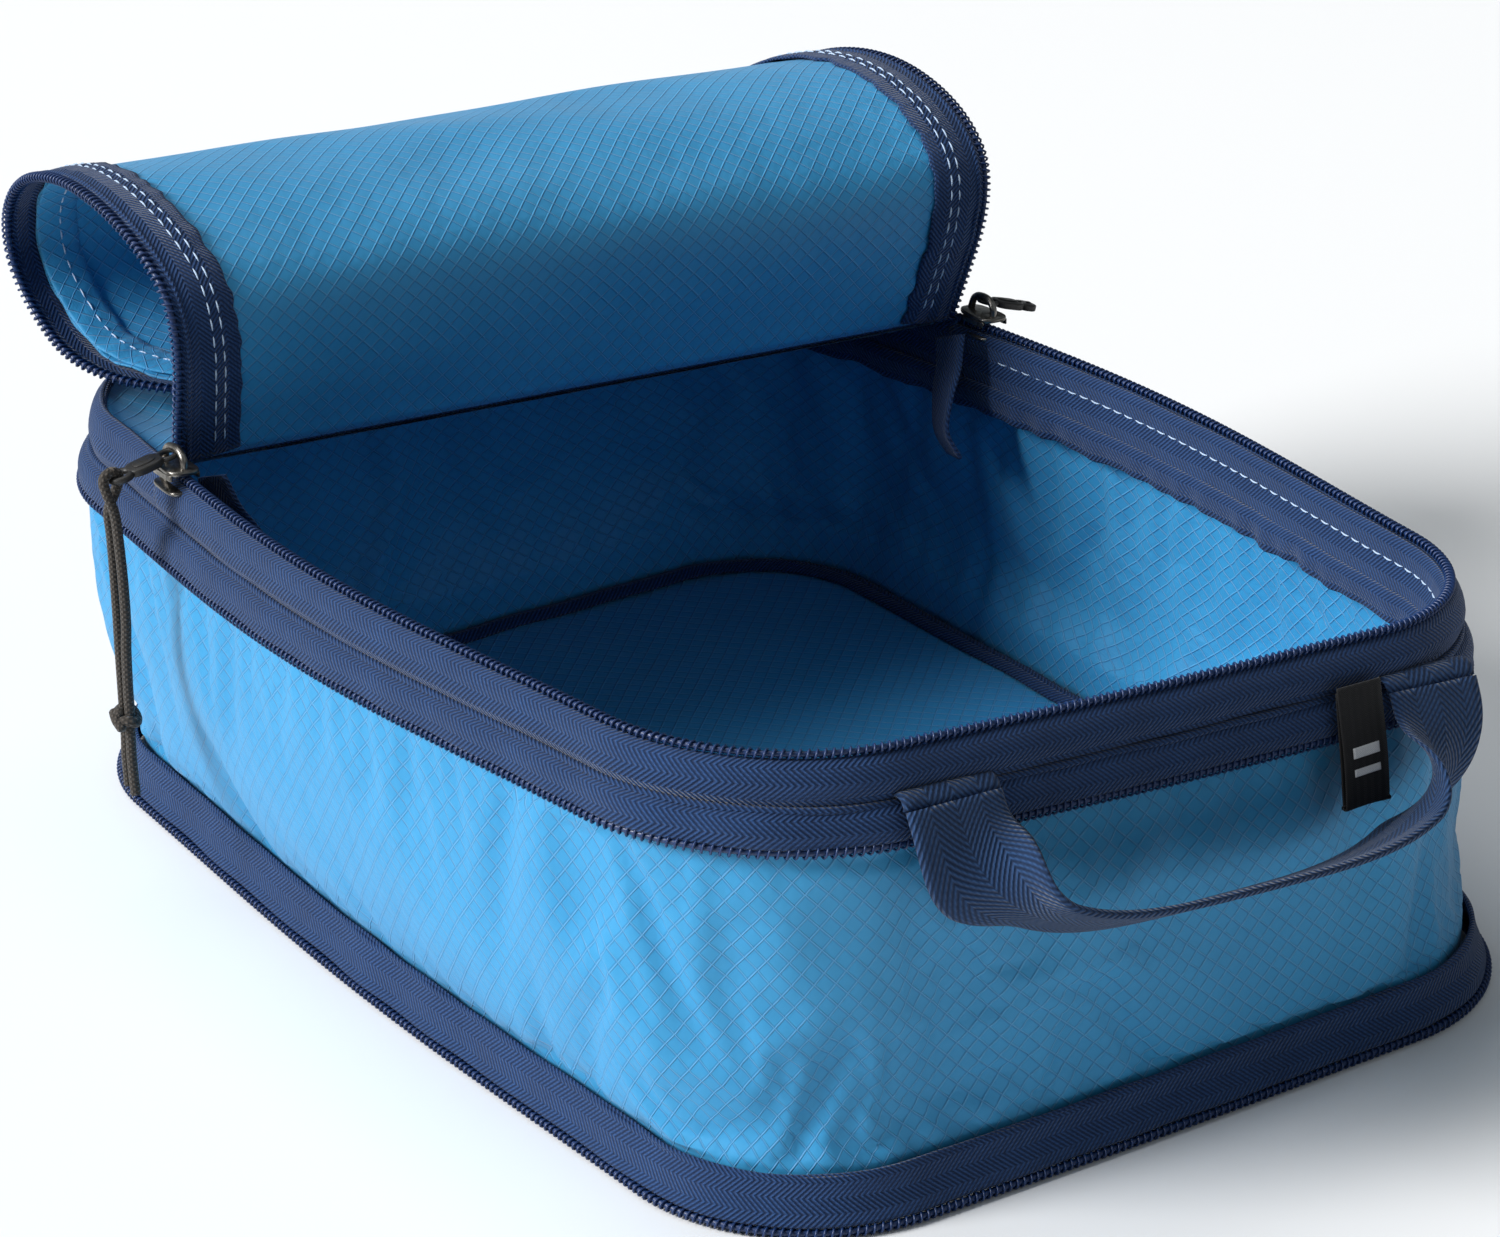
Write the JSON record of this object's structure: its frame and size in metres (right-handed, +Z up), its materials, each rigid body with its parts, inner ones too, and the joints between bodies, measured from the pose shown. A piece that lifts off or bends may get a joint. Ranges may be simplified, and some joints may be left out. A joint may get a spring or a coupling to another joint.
{
  "type": "packing cube",
  "caption": "Soft fabric packing cube with a roll-back zip lid, a second zip round its sides that compresses it, and a webbing carry handle.",
  "frame": {"origin": "on the floor, at the middle of the base panel's underside", "axes": "+Z up; -Y towards the handle side; +X to the right seen from the handle side"},
  "size_m": [0.2167, 0.2987, 0.1325],
  "materials": {
    "fabric_blue": "matte diamond ripstop with a slight sheen",
    "tape_navy": "matte herringbone zip tape",
    "coil_navy": "satin nylon coil",
    "webbing_navy": "matte twill webbing",
    "slider_metal": "black painted with bright worn edges",
    "pull_black": "satin",
    "cord_black": "matte braid",
    "label_black": "matte woven label"
  },
  "bodies": {
    "base": {"base_panel": "fabric_blue", "base_zip_coil": "coil_navy", "base_zip_tape": "tape_navy", "base_seam_binding": "tape_navy", "side_gusset": "fabric_blue"},
    "top": {"main_zip_tape": "tape_navy", "main_zip_coil": "coil_navy", "rear_rim_band": "tape_navy", "rim_piping": "tape_navy", "compression_zip_tape": "tape_navy", "compression_zip_coil": "coil_navy", "rim_seam_binding": "tape_navy", "top_back_panel": "fabric_blue", "hinge_seam_binding": "tape_navy", "zip_tape_end_left": "tape_navy", "zip_tape_end_right": "tape_navy", "handle_anchor_left": "webbing_navy", "handle_anchor_right": "webbing_navy", "size_label": "label_black"},
    "lid_1": {"lid_panel_1": "fabric_blue", "lid_zip_left_1": "tape_navy", "lid_zip_right_1": "tape_navy"},
    "lid_2": {"lid_panel_2": "fabric_blue", "lid_zip_left_2": "tape_navy", "lid_zip_right_2": "tape_navy"},
    "lid_3": {"lid_panel_3": "fabric_blue", "lid_zip_left_3": "tape_navy", "lid_zip_right_3": "tape_navy"},
    "lid_4": {"lid_panel_4": "fabric_blue", "lid_zip_left_4": "tape_navy", "lid_zip_right_4": "tape_navy"},
    "lid_5": {"lid_panel_5": "fabric_blue", "lid_zip_left_5": "tape_navy", "lid_zip_right_5": "tape_navy"},
    "lid_6": {"lid_panel_6": "fabric_blue", "lid_zip_left_6": "tape_navy", "lid_zip_right_6": "tape_navy"},
    "lid_7": {"lid_panel_7": "fabric_blue", "lid_zip_left_7": "tape_navy", "lid_zip_right_7": "tape_navy"},
    "lid_8": {"lid_panel_8": "fabric_blue", "lid_front_zip": "tape_navy"},
    "slider_left": {"slider_left": "slider_metal"},
    "pull_left": {"pull_left": "pull_black"},
    "slider_right": {"slider_right": "slider_metal"},
    "pull_right": {"pull_right": "pull_black"},
    "cord_upper": {"cord_upper_a": "cord_black", "cord_upper_b": "cord_black"},
    "cord_lower": {"cord_lower_a": "cord_black", "cord_lower_b": "cord_black", "cord_knot": "cord_black", "cord_tail": "cord_black"},
    "handle": {"handle_webbing": "webbing_navy"},
    "compression_slider": {"compression_slider": "slider_metal"},
    "compression_pull": {"compression_pull": "pull_black"}
  },
  "joints": [
    {"name": "compression", "type": "slide", "parent": "base", "child": "top", "axis": [0, 0, -1], "range_m": [0, 0.04], "deforming": ["side_gusset"]},
    {"name": "lid_open", "type": "hinge", "parent": "top", "child": "lid_1", "pos_m": [-0.004, 0.06275, 0.07902], "axis": [0.9976, -0.0028, -0.0698], "range_deg": [0, 73.56]},
    {"name": "lid_curl_2", "type": "hinge", "parent": "lid_1", "child": "lid_2", "pos_m": [-0.00187, 0.05497, 0.10979], "axis": [0.9976, -0.0028, -0.0698], "range_deg": [0, 65.6]},
    {"name": "lid_curl_3", "type": "hinge", "parent": "lid_2", "child": "lid_3", "pos_m": [-0.00101, 0.06937, 0.12144], "axis": [0.9976, -0.0028, -0.0698], "range_deg": [0, 30.9]},
    {"name": "lid_curl_4", "type": "hinge", "parent": "lid_3", "child": "lid_4", "pos_m": [-0.00066, 0.09562, 0.12542], "axis": [0.9976, -0.0028, -0.0698], "range_deg": [0, 23.7]},
    {"name": "lid_curl_5", "type": "hinge", "parent": "lid_4", "child": "lid_5", "pos_m": [-0.00105, 0.12104, 0.11885], "axis": [0.9976, -0.0028, -0.0698], "range_deg": [0, 31.7]},
    {"name": "lid_curl_6", "type": "hinge", "parent": "lid_5", "child": "lid_6", "pos_m": [-0.00192, 0.13364, 0.10594], "axis": [0.9976, -0.0028, -0.0698], "range_deg": [0, 55.4]},
    {"name": "lid_curl_7", "type": "hinge", "parent": "lid_6", "child": "lid_7", "pos_m": [-0.00287, 0.13109, 0.09241], "axis": [0.9976, -0.0028, -0.0698], "range_deg": [0, 49]},
    {"name": "lid_curl_8", "type": "hinge", "parent": "lid_7", "child": "lid_8", "pos_m": [-0.00366, 0.11346, 0.08189], "axis": [0.9976, -0.0028, -0.0698], "range_deg": [0, 27.9]},
    {"name": "slider_left_travel", "type": "slide", "parent": "top", "child": "slider_left", "axis": [0, -0.9992, 0.04], "range_m": [0, 0.114]},
    {"name": "pull_left_swing", "type": "hinge", "parent": "slider_left", "child": "pull_left", "pos_m": [-0.09812, 0.05728, 0.09231], "axis": [0, 0.9992, -0.04], "range_deg": [0, 60]},
    {"name": "slider_right_travel", "type": "slide", "parent": "top", "child": "slider_right", "axis": [0, -0.9992, 0.04], "range_m": [0, 0.114]},
    {"name": "pull_right_swing", "type": "hinge", "parent": "slider_right", "child": "pull_right", "pos_m": [0.09102, 0.05675, 0.07908], "axis": [0, -0.9992, 0.04], "range_deg": [0, 90]},
    {"name": "cord_hang", "type": "hinge", "parent": "pull_left", "child": "cord_upper", "pos_m": [-0.1098, 0.0571, 0.0857], "axis": [0, 0.9992, -0.04], "range_deg": [-60, 0]},
    {"name": "cord_lay", "type": "hinge", "parent": "cord_upper", "child": "cord_lower", "pos_m": [-0.1098, 0.0571, 0.054], "axis": [0, 1, 0], "range_deg": [0, 66]},
    {"name": "handle_swing", "type": "hinge", "parent": "top", "child": "handle", "pos_m": [0.00285, -0.12838, 0.07716], "axis": [-0.9976, 0.0028, 0.0698], "range_deg": [-10, 110]},
    {"name": "compression_slider_travel", "type": "slide", "parent": "base", "child": "compression_slider", "axis": [-1, 0, 0], "range_m": [0, 0.08]},
    {"name": "compression_pull_swing", "type": "hinge", "parent": "compression_slider", "child": "compression_pull", "pos_m": [0.03, 0.134, 0.0056], "axis": [1, 0, 0], "range_deg": [0, 80]}
  ],
  "couplings": [
    {"joint": "lid_curl_2", "follows": "lid_open", "ratio": 0.88521},
    {"joint": "lid_curl_3", "follows": "lid_open", "ratio": 0.41318},
    {"joint": "lid_curl_4", "follows": "lid_open", "ratio": 0.31511},
    {"joint": "lid_curl_5", "follows": "lid_open", "ratio": 0.42478},
    {"joint": "lid_curl_6", "follows": "lid_open", "ratio": 0.74603},
    {"joint": "lid_curl_7", "follows": "lid_open", "ratio": 0.65897},
    {"joint": "lid_curl_8", "follows": "lid_open", "ratio": 0.3721},
    {"joint": "cord_hang", "follows": "pull_left_swing", "ratio": -1},
    {"joint": "cord_lay", "follows": "compression", "rad_per_m": 28.8}
  ]
}
